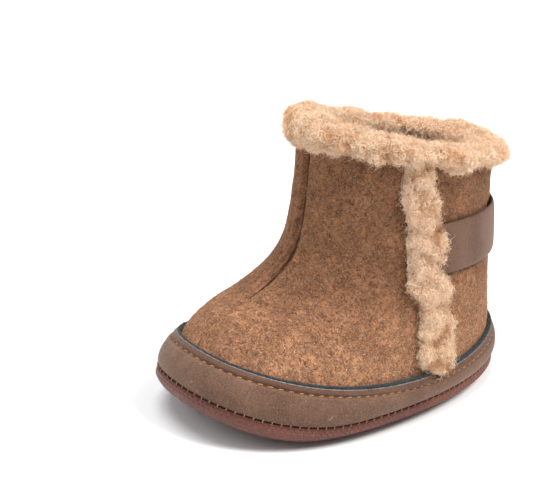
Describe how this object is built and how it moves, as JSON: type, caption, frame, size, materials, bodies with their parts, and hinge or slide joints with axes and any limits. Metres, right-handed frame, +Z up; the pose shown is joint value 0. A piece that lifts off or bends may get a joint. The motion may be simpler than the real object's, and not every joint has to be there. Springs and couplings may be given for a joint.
{
  "type": "baby bootie",
  "caption": "Baby's left winter bootie: felt upper with nubuck rand, rolled rubber sole, pile fleece cuff and placket, and a wrap strap that opens a side flap.",
  "frame": {"origin": "middle of the sole's flat underside, on the floor", "axes": "-Y towards the toe, +Y towards the heel, +X towards the outer (lateral) side of the left foot, +Z up"},
  "size_m": [0.0703, 0.1215, 0.0929],
  "materials": {
    "rubber_sole": "satin",
    "foam": "matt",
    "board": "matt",
    "fleece_lining": "matt",
    "pile_fleece": "matt",
    "nubuck": "matt",
    "felt": "matt",
    "grey_felt": "matt",
    "strap_nubuck": "matt",
    "thread": "satin",
    "hook_and_loop": "matt"
  },
  "bodies": {
    "root": {"outsole": "rubber_sole", "midsole_foam": "foam", "insole_board": "board", "footbed_fleece": "fleece_lining", "rand": "nubuck", "rand_felt_backing": "grey_felt", "rand_stitching": "thread", "sole_stitching": "thread", "medial_panel": "felt", "lateral_front_panel": "felt", "lateral_rear_panel": "felt", "front_seam_thread": "thread", "back_seam_thread": "thread", "medial_lining": "fleece_lining", "lateral_front_lining": "fleece_lining", "lateral_rear_lining": "fleece_lining", "medial_cuff": "pile_fleece", "lateral_front_cuff": "pile_fleece", "lateral_rear_cuff": "pile_fleece", "lower_placket": "pile_fleece", "loop_patch": "hook_and_loop", "loop_patch_stitching": "thread"},
    "flap": {"flap_panel": "felt", "flap_lining": "fleece_lining", "flap_cuff": "pile_fleece", "flap_placket": "pile_fleece", "strap_band": "strap_nubuck", "strap_backing": "fleece_lining"},
    "strap_end": {"strap_end": "strap_nubuck", "hook_patch": "hook_and_loop", "hook_patch_stitching": "thread"}
  },
  "joints": [
    {"name": "flap_open", "type": "hinge", "parent": "root", "child": "flap", "pos_m": [0.02997, 0.02068, 0.0241], "axis": [0.2162, 0.4732, -0.854], "range_deg": [0, 45]},
    {"name": "strap_peel", "type": "hinge", "parent": "flap", "child": "strap_end", "pos_m": [-0.008, 0.056, 0.051], "axis": [0, 0, -1], "range_deg": [0, 135]}
  ],
  "couplings": [
    {"joint": "strap_peel", "follows": "flap_open", "ratio": 3}
  ]
}
